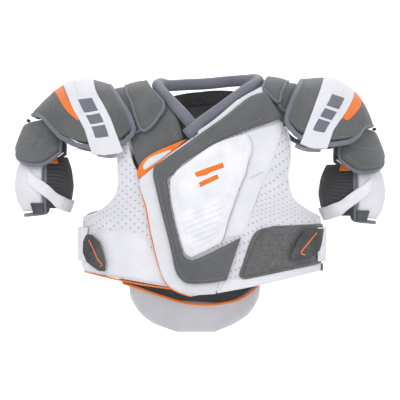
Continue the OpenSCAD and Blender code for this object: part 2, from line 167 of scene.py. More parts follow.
def waist(side):
    """The strap's way round the waist: angle in degrees from the chest, and z in mm."""
    def at(angle, z):
        a, z = np.radians(np.asarray(angle, float)), np.asarray(z, float)
        deg = np.degrees(a)
        out = 8.5 if side < 0 else 9 + 8.5 * np.clip((104 - deg) / 28, 0, 1)
        out = out + 3.5 * np.maximum(0, (deg - 90) / 38)
        c, s = np.cos(a), np.sin(a)
        depth = np.where(c > 0, -CHEST, BACK)
        e = 2 / ROUND
        x = side * (HALF_W + out) * np.abs(s) ** e
        y = np.sign(depth) * (np.abs(depth) + out) * np.abs(c) ** e
        return np.stack([x, y, z + 0 * x], -1)
    return at


# ---------------------------------------------------------------- curves and grids
def spline(points, n, closed=False):
    """n points on a smooth curve through the given ones, evenly spread by length."""
    p = np.array(points, float)
    if len(p) == 2:
        return p[0] + (p[1] - p[0]) * np.linspace(0, 1, n)[:, None]
    if closed:
        q = np.vstack([p[-1], p, p[0], p[1]])
    else:
        q = np.vstack([2 * p[0] - p[1], p, 2 * p[-1] - p[-2]])
    out = []
    for k in range(1, len(q) - 2):
        a, b, c, d = q[k - 1], q[k], q[k + 1], q[k + 2]
        t = np.linspace(0, 1, 12, endpoint=False)[:, None]
        square, cube = 2 * a - 5 * b + 4 * c - d, 3 * b - a - 3 * c + d
        out.append(0.5 * (2 * b + (c - a) * t + square * t ** 2 + cube * t ** 3))
    out.append(q[-2][None])
    line = np.vstack(out)
    length = np.concatenate([[0], np.cumsum(np.linalg.norm(np.diff(line, axis=0), axis=1))])
    at = np.linspace(0, length[-1], n)
    return np.stack([np.interp(at, length, line[:, k]) for k in range(line.shape[1])], -1)


def surface(surf, params, centre):
    """Points and outward unit normals of surf at params."""
    a, b = params[..., 0], params[..., 1]
    p = surf(a, b)
    e = 0.02
    da = surf(a + e, b) - surf(a - e, b)
    db = surf(a, b + e) - surf(a, b - e)
    n = np.cross(da, db)
    n /= np.maximum(1e-9, np.linalg.norm(n, axis=-1, keepdims=True))
    away = p - np.array(centre, float)
    if np.sum(n * away) < 0:
        n = -n
    return p, n


def mesh_object(name, verts, faces, mat, uv=None):
    """A smooth mesh from mm, with its finish."""
    me = bpy.data.meshes.new(name)
    me.from_pydata([tuple(v) for v in np.asarray(verts) * MM], [],
        [tuple(int(i) for i in f) for f in faces])
    me.update()
    if uv is not None:
        layer = me.uv_layers.new(name="UVMap")
        loops = np.empty(len(me.loops), dtype=np.int32)
        me.loops.foreach_get("vertex_index", loops)
        layer.data.foreach_set("uv", np.asarray(uv)[loops].astype(np.float32).ravel())
    me.polygons.foreach_set("use_smooth", [True] * len(me.polygons))
    o = bpy.data.objects.new(name, me)
    bpy.context.scene.collection.objects.link(o)
    me.materials.append(MATS[mat])
    return o


def place(o, body, nodes=()):
    """Puts a piece on its body and hides the nodes it stands for."""
    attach(o, body)
    if nodes:
        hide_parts(*([nodes] if isinstance(nodes, str) else nodes))
    return o


EDGE_LEFT = 0.2       # how much of a panel's thickness is left at its very edge


def panel(name, surf, rows, size, t0, t1, mat, body, nodes=(), edge=3.0, detail=None, centre=VEST_MID,
          sharp=False):
    """A pad or fabric piece between rows of [start, end] on surf, a grid of size points with round edges."""
    rows = np.array([np.concatenate([np.array(r[0]), np.array(r[1])]) for r in rows], float)
    m, n = size
    if sharp:
        t = np.linspace(0, len(rows) - 1, m)
        ends = np.stack([np.interp(t, np.arange(len(rows)), rows[:, k]) for k in range(4)], -1)
    else:
        ends = spline(rows, m)
    f = np.linspace(0, 1, n)
    f = 0.5 - 0.5 * np.cos(np.pi * f) * (0.6 + 0.4 * np.abs(np.cos(np.pi * f))) if n > 12 else f
    par = ends[:, None, :2] + (ends[:, None, 2:] - ends[:, None, :2]) * f[None, :, None]
    p, nrm = surface(surf, par, centre)
    rim = np.concatenate([p[0], p[-1], p[:, 0], p[:, -1]])
    flat = p.reshape(-1, 3)
    dist = np.empty(len(flat))
    for k in range(0, len(flat), 4000):
        dist[k:k + 4000] = np.sqrt(((flat[k:k + 4000, None] - rim[None]) ** 2).sum(-1)).min(1)
    dist = dist.reshape(m, n)
    w = EDGE_LEFT + (1 - EDGE_LEFT) * np.sqrt(1 - (1 - np.clip(dist / edge, 0, 1)) ** 2)
    mid = (t0 + t1) / 2
    across = np.linalg.norm(np.diff(p, axis=1), axis=2)
    u = np.concatenate([np.zeros((m, 1)), np.cumsum(across, 1)], 1)
    u = u - u[:, n // 2][:, None] + p[:, n // 2, 0][:, None]
    down = np.linalg.norm(np.diff(p, axis=0), axis=2)
    v = -np.concatenate([np.zeros((1, n)), np.cumsum(down, 0)], 0)
    v = v + p[0, n // 2, 2]
    add = detail(p[..., 0], p[..., 1], p[..., 2], dist, u, v) if detail else 0
    outer = p + nrm * (mid + (t1 - mid) * w + add * np.clip(dist / edge, 0, 1))[..., None]
    inner = p + nrm * (mid - (mid - t0) * w)[..., None]
    verts = np.concatenate([outer.reshape(-1, 3), inner.reshape(-1, 3)])
    q = m * n
    i, j = np.meshgrid(np.arange(m - 1), np.arange(n - 1), indexing="ij")
    a = (i * n + j).ravel()
    outer_f = np.stack([a, a + 1, a + n + 1, a + n], -1)
    k0 = (m // 2, n // 2)
    probe = np.cross(outer[k0[0], k0[1] + 1] - outer[k0], outer[k0[0] + 1, k0[1]] - outer[k0])
    flip = np.dot(probe, nrm[k0]) < 0
    inner_f = outer_f[:, ::-1] + q
    ring = np.concatenate([np.arange(n), np.arange(1, m) * n + n - 1,
        (m - 1) * n + np.arange(n - 2, -1, -1), np.arange(m - 2, 0, -1) * n])
    nxt = np.roll(ring, -1)
    side_f = np.stack([ring, ring + q, nxt + q, nxt], -1)
    faces = np.concatenate([outer_f, inner_f, side_f])
    if flip:
        faces = faces[:, ::-1]
    uv = np.stack([np.concatenate([u.ravel(), u.ravel()]), np.concatenate([v.ravel(), v.ravel()])], -1) * MM
    o = mesh_object(name, verts, faces, mat, uv=uv)
    return place(o, body, nodes)


def sweep(name, p, nrm, profile, mat, body, nodes=(), closed=False, lift=0.0):
    """Sweeps a closed profile of (across, outward) points along p."""
    p = np.asarray(p, float)
    if closed:
        tan = np.roll(p, -1, 0) - np.roll(p, 1, 0)
    else:
        tan = np.gradient(p, axis=0)
    tan /= np.maximum(1e-9, np.linalg.norm(tan, axis=1, keepdims=True))
    nrm = nrm - tan * (nrm * tan).sum(1, keepdims=True)
    nrm /= np.maximum(1e-9, np.linalg.norm(nrm, axis=1, keepdims=True))
    side = np.cross(tan, nrm)
    prof = np.asarray(profile, float)
    k = len(prof)
    v = p[:, None] + side[:, None] * prof[None, :, :1] + nrm[:, None] * (prof[None, :, 1:] + lift)
    m = len(p)
    faces = []
    last = m if closed else m - 1
    for a in range(last):
        b = (a + 1) % m
        for c in range(k):
            d = (c + 1) % k
            faces.append((a * k + c, b * k + c, b * k + d, a * k + d))
    if not closed:
        faces.append(tuple(range(k)))
        faces.append(tuple((m - 1) * k + c for c in range(k - 1, -1, -1)))
    length = np.concatenate([[0], np.cumsum(np.linalg.norm(np.diff(p, axis=0), axis=1))])
    uv = np.stack([np.repeat(length, k), np.tile(np.linspace(0, 1, k) * 12, m)], -1) * MM
    o = mesh_object(name, v.reshape(-1, 3), faces, mat, uv=uv)
    return place(o, body, nodes)


def oval(width, thick):
    """A flattened profile of 12 points, width across and thick outward, sitting on 0."""
    power = 0.7
    t = np.arange(12) / 12 * 2 * math.pi
    c, s = np.cos(t), np.sin(t)
    return np.stack([width / 2 * np.sign(c) * np.abs(c) ** power,
        thick / 2 * np.sign(s) * np.abs(s) ** power + thick / 2], -1)


def on_line(surf, points, n, centre=VEST_MID, closed=False):
    """n points and normals on surf along a smooth line through points."""
    return surface(surf, spline(points, n, closed), centre)


THREADS = {}
THREAD_R = 0.42    # mm


def stitch(surf, points, body, height, centre=VEST_MID, gap=3.4, mat="thread"):
    """Adds a line of stitches along points on surf."""
    p, n = on_line(surf, points, 400, centre)
    length = np.concatenate([[0], np.cumsum(np.linalg.norm(np.diff(p, axis=0), axis=1))])
    count = int(length[-1] / gap)
    for k in range(count):
        ends = []
        for f in (k * gap + gap * 0.12, k * gap + gap * 0.8):
            q = np.array([np.interp(f, length, p[:, c]) for c in range(3)])
            m = np.array([np.interp(f, length, n[:, c]) for c in range(3)])
            ends.append(q + m * height)
            up = m / np.linalg.norm(m)
        THREADS.setdefault((body, mat), []).append((ends[0], ends[1], up))


def sew():
    """Makes one mesh of the stitches of each body and colour."""
    for (body, mat), lines in THREADS.items():
        verts, faces = [], []
        for a, b, up in lines:
            d = b - a
            d /= max(1e-9, np.linalg.norm(d))
            s = np.cross(d, up)
            base = len(verts)
            for q, rr in ((a, 0.35), (a + (b - a) * 0.2, 1), (a + (b - a) * 0.8, 1), (b, 0.35)):
                for t in range(5):
                    ang = t / 5 * 2 * math.pi
                    verts.append(q + s * math.cos(ang) * THREAD_R * rr + up * math.sin(ang) * THREAD_R * rr)
            for ring in range(3):
                for t in range(5):
                    t2 = (t + 1) % 5
                    faces.append((base + ring * 5 + t, base + ring * 5 + t2, base + ring * 5 + 5 + t2,
                        base + ring * 5 + 5 + t))
            faces.append(tuple(base + t for t in range(4, -1, -1)))
            faces.append(tuple(base + 15 + t for t in range(5)))
        place(mesh_object(f"stitches_{body}_{mat}", verts, faces, mat), body)


# ---------------------------------------------------------------- finishes
MATS = {}


class Nodes:
    """Short spellings for building one node material."""

    def __init__(self, name):
        self.m = bpy.data.materials.new(name)
        self.m.use_nodes = True
        self.t = self.m.node_tree
        self.b = self.t.nodes["Principled BSDF"]
        self.uvw = self.t.nodes.new("ShaderNodeTexCoord")

    def new(self, kind, **values):
        node = self.t.nodes.new(kind)
        for key, value in values.items():
            setattr(node, key, value)
        return node

    def feed(self, socket, value):
        if hasattr(value, "is_output"):
            self.t.links.new(value, socket)
        else:
            socket.default_value = value

    def math(self, op, a, b=0.0, c=0.0):
        node = self.new("ShaderNodeMath", operation=op)
        for k, v in enumerate((a, b, c)):
            self.feed(node.inputs[k], v)
        return node.outputs[0]

    def split(self, coord):
        node = self.new("ShaderNodeSeparateXYZ")
        self.feed(node.inputs[0], coord)
        return node.outputs

    def noise(self, scale, detail=3.0, coord=None):
        node = self.new("ShaderNodeTexNoise")
        self.feed(node.inputs["Vector"], coord or self.uvw.outputs["Object"])
        node.inputs["Scale"].default_value = scale
        node.inputs["Detail"].default_value = detail
        return node.outputs[0]

    def ramp(self, value, low, high, a, b):
        node = self.new("ShaderNodeMapRange")
        for k, v in enumerate((value, low, high, a, b)):
            self.feed(node.inputs[k], v)
        return node.outputs[0]

    def mix(self, f, a, b):
        node = self.new("ShaderNodeMix", data_type="RGBA")
        self.feed(node.inputs[0], f)
        for socket, v in ((node.inputs[6], a), (node.inputs[7], b)):
            self.feed(socket, v if hasattr(v, "is_output") else (*v, 1.0))
        return node.outputs[2]

    def wave(self, coord, pitch):
        """0 to 1 ridges every pitch metres of coord."""
        s = self.math("SINE", self.math("MULTIPLY", coord, 2 * math.pi / pitch))
        return self.math("MULTIPLY_ADD", s, 0.5, 0.5)

    def done(self, color, height, rough=0.8, distance=0.0004, strength=0.6, sheen=0.2, spec=0.3):
        self.feed(self.b.inputs["Base Color"], color)
        self.feed(self.b.inputs["Roughness"], rough)
        self.b.inputs["Specular IOR Level"].default_value = spec
        self.b.inputs["Sheen Weight"].default_value = sheen
        bump = self.new("ShaderNodeBump")
        bump.inputs["Strength"].default_value = strength
        bump.inputs["Distance"].default_value = distance
        self.feed(bump.inputs["Height"], height)
        self.t.links.new(bump.outputs[0], self.b.inputs["Normal"])
        return self.m


def weave(n, u, v, pitch):
    """A plain weave's height: warp and weft take turns."""
    a, b = n.wave(u, pitch), n.wave(v, pitch)
    return n.math("MAXIMUM", n.math("MULTIPLY", a, n.math("SUBTRACT", 1.0, b)),
        n.math("MULTIPLY", b, n.math("SUBTRACT", 1.0, a)))


def fabric(name, base, paler, pitch=0.0011, rough=0.85, twill=False, use_uv=True, dots=None):
    """Woven cloth, with painted shade where the weave dips between its threads; dots gives staggered holes
    painted dark as shade: (pitch across, pitch down, radius, colour), in metres.
    """
    n = Nodes(name)
    coord = n.uvw.outputs["UV" if use_uv else "Object"]
    s = n.split(coord)
    u, v = (s[0], s[1]) if use_uv else (s[0], s[2])
    if twill:
        d = n.math("ADD", u, v)
        h = n.math("MULTIPLY", n.wave(d, pitch * 1.6),
            n.math("MULTIPLY_ADD", n.wave(n.math("SUBTRACT", u, v), pitch), 0.5, 0.5))
    else:
        h = weave(n, u, v, pitch)
    cloud = n.noise(28.0, 4.0)
    fine = n.noise(900.0, 2.0)
    tone = n.ramp(n.math("MULTIPLY_ADD", cloud, 0.6, n.math("MULTIPLY", fine, 0.4)), 0.35, 0.68, 0.0, 1.0)
    color = n.mix(tone, base, paler)
    # painted shade: the cloth is darkened where the weave dips between its threads
    color = n.mix(n.math("MULTIPLY", n.math("SUBTRACT", 1.0, h), 0.35), color,
        tuple(c * 0.55 for c in base))
    height = n.math("MULTIPLY_ADD", fine, 0.25, h)
    if dots:
        pitch_u, pitch_v, radius, dark = dots
        gu, gv = n.math("DIVIDE", u, pitch_u), n.math("DIVIDE", v, pitch_v)
        best = None
        for shift in (0.0, 0.5):
            fu = n.math("SUBTRACT", n.math("FRACT", n.math("ADD", gu, shift + 10.0)), 0.5)
            fv = n.math("SUBTRACT", n.math("FRACT", n.math("ADD", gv, shift + 40.0)), 0.5)
            du, dv = n.math("MULTIPLY", fu, pitch_u), n.math("MULTIPLY", fv, pitch_v)
            r = n.math("SQRT", n.math("ADD", n.math("MULTIPLY", du, du), n.math("MULTIPLY", dv, dv)))
            best = r if best is None else n.math("MINIMUM", best, r)
        # painted shade: each hole is coloured dark for the shade inside it, and a darker ring round it is
        # painted shade at its edge
        hole = n.ramp(best, radius * 0.75, radius * 1.1, 1.0, 0.0)
        rim = n.ramp(best, radius, radius * 2.2, 0.35, 0.0)
        color = n.mix(rim, color, tuple(c * 0.75 for c in base))
        color = n.mix(hole, color, dark)
        height = n.math("SUBTRACT", height, n.math("MULTIPLY",
            n.ramp(best, radius * 0.6, radius * 2.0, 1.0, 0.0), 3.0))
    rough_out = n.ramp(cloud, 0.3, 0.7, rough - 0.08, min(1.0, rough + 0.08))
    return n.done(color, height, rough_out, sheen=0.25)


def fuzzy(name, base, paler):
    """The pile of a loop fastener, paler on its high loops and darker in its low spots as painted shade."""
    n = Nodes(name)
    a, b = n.noise(700.0, 5.0), n.noise(180.0, 3.0)
    h = n.math("MULTIPLY_ADD", b, 0.5, a)
    # painted shade: the colour follows the pile's height, darker in its low spots and paler on its high
    # loops
    color = n.mix(n.ramp(h, 0.5, 1.0, 0.0, 1.0), base, paler)
    return n.done(color, h, 0.95, distance=0.0012, strength=0.9, sheen=0.5)


def plastic(name, base, paler, rough=0.5, distance=0.0002):
    """A moulded skin with a fine grain."""
    n = Nodes(name)
    a, b = n.noise(40.0, 4.0), n.noise(1500.0, 2.0)
    color = n.mix(n.ramp(a, 0.35, 0.65, 0.0, 1.0), base, paler)
    return n.done(color, b, n.ramp(a, 0.3, 0.7, rough - 0.08, rough + 0.1), distance=distance, sheen=0.0,
        spec=0.45)


def seam_shade(name, base, paler, pitch):
    """Ribbed webbing or elastic: ribs across UV u, with fine yarn along them, and painted shade in the dips
    between the ribs.
    """
    n = Nodes(name)
    s = n.split(n.uvw.outputs["UV"])
    h = n.math("MULTIPLY_ADD", n.wave(s[1], pitch), 0.7, n.math("MULTIPLY", n.wave(s[0], pitch * 0.8), 0.3))
    cloud = n.noise(45.0, 4.0)
    color = n.mix(n.ramp(cloud, 0.35, 0.65, 0.0, 1.0), base, paler)
    # painted shade: the webbing is darkened in the dips between its ribs
    color = n.mix(n.math("MULTIPLY", n.math("SUBTRACT", 1.0, h), 0.3), color, tuple(c * 0.6 for c in base))
    return n.done(color, h, 0.82, distance=0.0005)


MATS["mesh"] = fabric("white_perforated_mesh", (0.70, 0.70, 0.76), (0.80, 0.80, 0.85), 0.0012,
    dots=(0.0135, 0.0135, 0.0012, (0.30, 0.30, 0.33)))
MATS["back"] = fabric("white_spacer_mesh", (0.66, 0.66, 0.72), (0.78, 0.78, 0.82), 0.0016, twill=True)
MATS["lining"] = fabric("dark_spacer_lining", (0.045, 0.045, 0.050), (0.085, 0.085, 0.09), 0.0022,
    dots=(0.0060, 0.0060, 0.0011, (0.012, 0.012, 0.014)))
MATS["quilt"] = fabric("grey_woven_fabric", (0.098, 0.102, 0.106), (0.15, 0.155, 0.16), 0.0012, twill=True)
MATS["quilt_cap"] = fabric("grey_quilted_fabric", (0.098, 0.102, 0.106), (0.155, 0.16, 0.165), 0.0013,
    twill=True)
MATS["white"] = fabric("white_knit", (0.72, 0.72, 0.78), (0.83, 0.83, 0.88), 0.0013, twill=True)
MATS["elastic"] = seam_shade("white_elastic", (0.70, 0.70, 0.76), (0.82, 0.82, 0.86), 0.0022)
MATS["loop"] = fuzzy("grey_loop_fastener", (0.055, 0.056, 0.058), (0.16, 0.162, 0.166))
MATS["binding"] = fabric("grey_binding_tape", (0.145, 0.152, 0.195), (0.20, 0.208, 0.255), 0.0009,
    rough=0.75)
MATS["orange"] = fabric("orange_woven_trim", (0.86, 0.17, 0.012), (1.0, 0.27, 0.03), 0.0011, rough=0.7)
MATS["plate"] = plastic("white_moulded_skin", (0.66, 0.66, 0.71), (0.76, 0.76, 0.81), 0.55)
MATS["rubber"] = plastic("black_soft_rubber", (0.035, 0.036, 0.040), (0.075, 0.077, 0.083), 0.6, 0.0003)
MATS["thread"] = fabric("grey_thread", (0.26, 0.265, 0.31), (0.36, 0.365, 0.41), 0.0006, use_uv=False)
MATS["white_thread"] = fabric("white_thread", (0.80, 0.80, 0.84), (0.9, 0.9, 0.93), 0.0006, use_uv=False)
MATS["dark_thread"] = fabric("dark_thread", (0.03, 0.03, 0.035), (0.07, 0.07, 0.075), 0.0006, use_uv=False)

# The CAD nodes that stay in view are inside the pads or are plain webbing.
CAD_MATS = {
    "lining": fabric("lining_solid", (0.045, 0.045, 0.050), (0.085, 0.085, 0.09), 0.0022, use_uv=False),
    "cap_plastic": plastic("black_moulded_core", (0.015, 0.015, 0.016), (0.04, 0.04, 0.042), 0.5),
    "webbing": fabric("webbing_solid", (0.018, 0.018, 0.02), (0.05, 0.05, 0.054), 0.0014, use_uv=False)}
SUBPART_SLOT = {s["node"]: s["material_slot"] for s in frame["record"]["subparts"]}
for node, obj in frame["nodes"].items():
    mat = CAD_MATS.get(SUBPART_SLOT[node])
    if mat:
        obj.data.materials.clear()
        obj.data.materials.append(mat)


# ---------------------------------------------------------------- vest
def puff(height, reach=18.0):
    """Padding that swells by height within reach of its edge."""
    return lambda x, y, z, d, u, v: height * (1 - np.exp(-d / reach))


def lanes(pitch, depth, soft=2.0, height=1.0):
    """Padding with stitched channels every pitch mm."""
    def f(x, y, z, d, u, v):
        c = np.abs((u / pitch) % 1 - 0.5) * 2
        return height * (1 - np.exp(-d / 10)) - depth * np.exp(-((1 - c) * pitch / 2 / soft) ** 2)
    return f


RIGHT_FRONT = front(
    (-133, -64, -114, -64), (-129, -90, -108, -90), (-128, -112, -99, -112), (-127, -130, -74, -128),
    (-130, -148, -66, -142), (-140, -166, -60, -160), (-158, -179, -54, -180), (-182, -188, -46, -204),
    (-184, -204, -43, -222), (-184, -232, -36, -250), (-182, -275, -24, -302))
panel("right_front_mesh", torso, RIGHT_FRONT, (110, 80), 0, BASE_T, "mesh", "vest", "right_front_panel",
    edge=4, detail=puff(1.0))
SIDE_R = front(
    (-183, -212, -150, -206), (-184, -232, -96, -214), (-184, -256, -60, -262), (-182, -272, -52, -294))
panel("right_front_side_knit", torso, SIDE_R, (40, 60), 3.5, BASE_T + 1.6, "white", "vest", edge=2.5,
    detail=puff(0.8))

WRAP = front(
    (90, 5, 129, -44), (68, -7, 137, -68), (38, -28, 138, -92), (9, -49, 136, -108),
    (-20, -70, 134, -122), (-60, -100, 134, -134), (-93, -127, 137, -144), (-90, -146, 144, -160),
    (-83, -172, 162, -175), (-79, -195, 181, -187), (-76, -212, 184, -200), (-70, -238, 184, -222),
    (-63, -265, 184, -240), (-52, -292, 184, -262), (-36, -304, 183, -270), (-14, -312, 182, -274))
panel("left_wrap_mesh", torso, WRAP, (130, 130), WRAP_IN, WRAP_OUT, "mesh", "vest", "left_wrap_panel",
    edge=4, detail=puff(0.6))
# plain knit beside the chest frame, the white side field of the chest and the hem
EDGE_IN = front(
    (-14, -78, -8, -74), (-60, -102, -46, -98), (-92, -128, -62, -124), (-82, -172, -52, -172),
    (-74, -216, -42, -214), (-66, -252, -34, -250), (-56, -284, -26, -280), (-40, -300, -12, -290),
    (-12, -309, -2, -290), (24, -308, 30, -284))
panel("wrap_edge_knit", torso, EDGE_IN, (110, 16), WRAP_OUT - 2.5, WRAP_OUT + 1.2, "white", "vest",
    edge=2.2)
FIELD = front(
    (64, -58, 128, -40), (78, -70, 124, -62), (74, -96, 112, -96), (64, -132, 98, -130),
    (52, -168, 84, -168), (42, -196, 72, -200), (36, -222, 64, -216))
panel("wrap_chest_knit", torso, FIELD, (80, 24), WRAP_OUT - 2.5, WRAP_OUT + 1.4, "white", "vest", edge=2.5,
    detail=puff(1.2, 10))
HEM_L = front((30, -284, 26, -307), (70, -283, 74, -298), (120, -272, 124, -287), (183, -262, 183, -273))
panel("wrap_hem_knit", torso, HEM_L, (60, 10), WRAP_OUT - 2.5, WRAP_OUT + 1.2, "white", "vest", edge=2.2)

BACK_ROWS = [
    ((-62, -44), (80, -44)), (B(-66, -52), B(82, -50)), (B(-112, -58), B(112, -56)),
    (B(-132, -68), B(132, -66)), (B(-129, -90), B(129, -90)), (B(-130, -125), B(130, -125)),
    (B(-136, -150), B(136, -150)), (B(-156, -174), B(156, -174)), (B(-183, -186), B(183, -186)),
    (B(-184, -230), B(184, -230)), (B(-183, -274), B(183, -274)), (B(-114, -286), B(98, -286))]
panel("back_mesh", torso, BACK_ROWS, (110, 110), 0, BASE_T, "mesh", "vest", "back_panel", edge=4,
    detail=puff(1.0))
LINER = [
    ((-60, -39), (80, -39)), ((-66, -48), (84, -48)), ((-80, -56), (92, -56)),
    (B(-104, -66), B(106, -66)), (B(-118, -110), B(118, -110)), (B(-130, -170), B(130, -170)),
    (B(-150, -230), B(150, -230)), (B(-142, -270), B(142, -270)), (B(-130, -297), B(101, -297)),
    (B(-77, -315), B(64, -323)), (B(-32, -328), B(32, -332))]
panel("back_lining", torso, LINER, (110, 120), -6.0, -3.0, "lining", "vest", "back_liner", edge=3)
SPINE = behind(
    (-46, -72, 46, -72), (-58, -96, 58, -96), (-54, -130, 54, -130), (-50, -150, 50, -150),
    (-40, -196, 40, -196))
panel("spine_pad", torso, SPINE, (90, 60), WRAP_IN, WRAP_IN + 7, "quilt", "vest", "spine_guard", edge=6,
    detail=lanes(23, 2.2, 1.6, 1.2))
BAND = behind((-172, -204, 172, -204), (-172, -232, 172, -232), (-172, -260, 172, -260))
panel("back_band", torso, BAND, (30, 120), WRAP_IN, WRAP_IN + 3, "elastic", "vest", "back_waist_band",
    edge=1.5)

R_YOKE = [
    (C(-94, -112), C(-26, -64)), (C(-104, -88), C(-36, -34)), (C(-112, -62), C(-52, -13)),
    (C(-138, -44), C(-66, 2)), ((-140, 46), (-78, 30)), ((-141, 24), (-80, 14)), ((-141, 0), (-80, -4)),
    ((-141, -24), (-78, -22)), ((-140, -46), (-72, -38)), (B(-134, -50), B(-70, -46))]
panel("right_yoke_pad", torso, R_YOKE, (110, 40), 0, BASE_T, "quilt", "vest", "right_yoke", edge=4,
    detail=puff(1.2))
L_YOKE = [
    (C(134, -34), C(106, 4)), ((142, 38), (104, 24)), ((150, 20), (103, 12)), ((154, 0), (103, 0)),
    ((150, -24), (98, -18)), ((142, -46), (92, -36)), (B(134, -46), B(88, -40))]
panel("left_yoke_pad", torso, L_YOKE, (80, 30), 0, BASE_T, "quilt", "vest", "left_yoke", edge=4,
    detail=puff(1.2))

# arch pads over the shoulders
R_PAD = [
    (C(-90, -53), C(-80, -52)), (C(-99, -36), C(-66, -37)), (C(-105, -16), C(-57, -16)),
    ((-114, 26), (-76, 26)), ((-117, 8), (-84, 8)), ((-117, -10), (-84, -10)), ((-112, -30), (-79, -28)),
    ((-100, -48), (-78, -46))]
panel("right_arch", torso, R_PAD, (90, 30), WRAP_IN + 1, WRAP_IN + 8, "quilt", "vest", "right_arch_pad",
    edge=5, detail=puff(1.5, 8))
R_UNDER = [
    (C(-104, -54), C(-93, -52)), (C(-112, -34), C(-100, -34)), (C(-124, -16), C(-107, -16)),
    ((-138, 26), (-116, 26)), ((-142, 8), (-119, 8)), ((-142, -10), (-119, -10)),
    ((-134, -30), (-114, -30)), ((-116, -48), (-102, -48))]
panel("right_arch_under", torso, R_UNDER, (80, 16), WRAP_IN + 1, WRAP_IN + 5, "quilt", "vest",
    "right_arch_under_pad", edge=4, detail=puff(1.2, 8))
L_PAD = [((121, 41), (99, 31)), ((126, 32), (100, 24)), ((133, 20), (104, 16)), ((139, 4), (109, 4)),
    ((139, -12), (109, -12)), ((132, -30), (104, -28)), ((118, -48), (96, -46))]
panel("left_arch", torso, L_PAD, (80, 30), WRAP_IN + 1, WRAP_IN + 8, "quilt", "vest", "left_arch_pad",
    edge=5, detail=puff(1.5, 8))
L_UNDER = [((135, 46), (124, 43)), ((141, 36), (129, 34)), ((150, 20), (136, 20)), ((157, 4), (142, 4)),
    ((157, -12), (142, -12)), ((150, -30), (135, -30)), ((134, -48), (121, -48))]
panel("left_arch_under", torso, L_UNDER, (70, 14), WRAP_IN + 1, WRAP_IN + 5, "quilt", "vest",
    "left_arch_under_pad", edge=4, detail=puff(1.2, 8))


def around(rows):
    """The outline of a panel's rows, as one closed loop."""
    return [r[0] for r in rows] + [r[1] for r in rows[::-1]]


def bind(name, surf, points, body, height, width=5.0, thick=3.0, mat="binding", nodes=(), centre=VEST_MID,
        closed=False, n=260):
    """A tape or cord of oval section along points, its middle at height above surf."""
    p, nr = on_line(surf, points, n, centre, closed)
    return sweep(name, p, nr, oval(width, thick), mat, body, nodes, closed=closed, lift=height - thick / 2)


for name, rows, height, width, thick in (
        ("right_arch", R_PAD, 5.5, 5.0, 6.0), ("right_under", R_UNDER, 3.0, 4.5, 5.0),
        ("left_arch", L_PAD, 5.5, 5.0, 6.0),
        ("left_under", L_UNDER, 3.0, 4.5, 5.0), ("spine", SPINE, 3.5, 5.0, 5.0)):
    bind(f"{name}_binding", torso, around(rows), "vest", WRAP_IN + height, width, thick, closed=True)

# chest frame and plate
FRAME = front(
    (100, 1, 124, -36), (76, -7, 98, -46), (56, -23, 66, -57), (34, -39, 42, -66), (13, -53, 17, -78),
    (-29, -81, -18, -98), (-60, -102, -38, -114), (-71, -115, -49, -126), (-67, -142, -49, -140),
    (-59, -178, -45, -172), (-50, -215, -37, -208), (-43, -246, -28, -240), (-38, -270, -23, -250),
    (-30, -284, -15, -254), (-18, -291, -6, -253), (12, -291, 18, -242), (41, -286, 62, -219))
panel("chest_frame_pad", torso, FRAME, (240, 22), TOP_IN, TOP_IN + 6, "quilt", "vest", "chest_frame",
    edge=4.5, detail=puff(1.4, 6))
PLATE = front(
    (36, -70, 70, -60), (15, -80, 78, -72), (-14, -99, 78, -86), (-41, -121, 72, -106),
    (-46, -140, 64, -130), (-42, -172, 53, -160), (-34, -208, 43, -192), (-24, -242, 36, -218),
    (-13, -251, 30, -229))


PLATE_SLANT = 0.42     # the ribs rise this much per mm toward the wearer's left
PLATE_RIB = 9.2        # mm from rib to rib


def plate_ribs(x, y, z, d, u, v):
    """A step inside the rim, and slanted ribs over the lower part."""
    along = z - PLATE_SLANT * x
    lower = np.clip((-166 - along) / 16, 0, 1) * np.clip((d - 12) / 5, 0, 1)
    step = np.where(d > 9, 1.2 * np.clip((d - 9) / 3, 0, 1), 0)
    wave = 0.9 * np.cos(along / PLATE_RIB * 2 * np.pi) * lower
    return 0.8 + step + wave


panel("chest_plate_skin", torso, PLATE, (190, 120), TOP_IN, TOP_IN + 6.2, "plate", "vest", "chest_plate",
    edge=6, detail=plate_ribs)
# a plain generic mark: two slanted bars, one short and one long
for k, (x0, x1, z0, w) in enumerate([(-8, 34, -117, 7), (-2, 26, -133, 7)]):
    bar = [(C(x0, z0), C(x0 + 3, z0 - w)), (C((x0 + x1) / 2, z0 + 7), C((x0 + x1) / 2 + 3, z0 + 7 - w)),
        (C(x1, z0 + 14), C(x1 + 3, z0 + 14 - w))]
    panel(f"chest_mark_{k}", torso, bar, (24, 8), TOP_IN + 7.2, TOP_IN + 8.9, "orange", "vest", edge=0.8,
        sharp=True)
TRIM = front(
    (-26, -68, -20, -66), (-52, -78, -38, -82), (-72, -87, -54, -97), (-88, -98, -68, -109),
    (-96, -112, -80, -116), (-97, -124, -90, -126))
panel("accent_trim_face", torso, TRIM, (60, 14), BASE_T - 0.5, WRAP_IN + 2.8, "orange", "vest",
    "accent_trim", edge=1.4)
INSERT = front(
    (-47, -83, -44, -84), (-62, -88, -56, -94), (-78, -95, -70, -104), (-87, -105, -80, -110),
    (-88, -111, -85, -113))
panel("accent_trim_insert", torso, INSERT, (40, 10), WRAP_IN + 1.6, WRAP_IN + 3.8, "white", "vest",
    edge=1.0)
LANDING = front(
    (112, -201, 183, -198), (92, -206, 184, -206), (82, -214, 184, -214), (74, -232, 184, -232),
    (68, -252, 183, -248), (60, -276, 182, -257), (62, -282, 181, -260), (70, -285, 180, -262))
panel("landing_loop", torso, LANDING, (60, 70), WRAP_OUT + 0.4, TOP_IN + 1.6, "loop", "vest",
    "landing_patch", edge=1.4)
FACING = front(
    (96, 12, 98, 2), (86, 6, 86, -3), (70, -2, 72, -9), (49, -17, 52, -25), (22, -39, 24, -47),
    (-4, -56, -4, -64))
panel("facing_knit", torso, FACING, (60, 8), WRAP_OUT - 2, TOP_IN + 1.8, "white", "vest", "collar_facing",
    edge=1.4)

